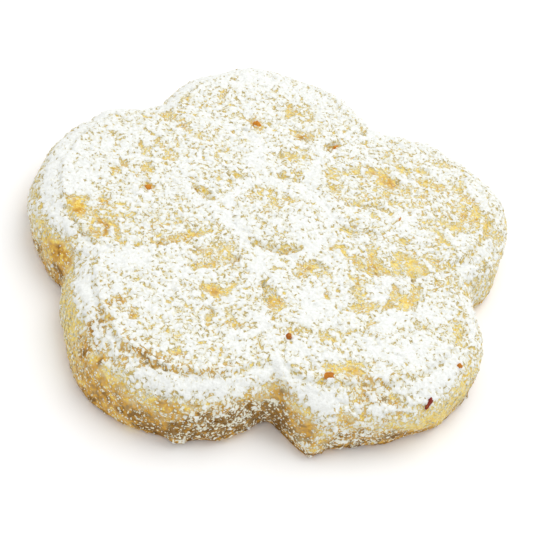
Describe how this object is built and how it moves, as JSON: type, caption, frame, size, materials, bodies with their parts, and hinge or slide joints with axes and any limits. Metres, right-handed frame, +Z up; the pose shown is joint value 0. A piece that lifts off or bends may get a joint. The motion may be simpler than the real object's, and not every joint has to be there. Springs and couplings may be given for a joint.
{
  "type": "nut kahk cookie",
  "caption": "Round flower-lobed stamped shortbread biscuit with a raised button, petals and a rounded edge, dusted with icing sugar.",
  "frame": {"origin": "centre of the bounding box, on the flat underside", "axes": "+Z up out of the stamped top, -Y towards the front, +X to the right"},
  "size_m": [0.0602, 0.061, 0.0086],
  "materials": {
    "baked_dough": "dry golden shortbread crust, browner towards the foot",
    "icing_sugar": "powdery white sugar, clumped and full of small gaps",
    "chopped_nut": "toasted red-brown nut skin, faint oily shine"
  },
  "bodies": {
    "root": {"kahk": "baked_dough"}
  },
  "joints": []
}
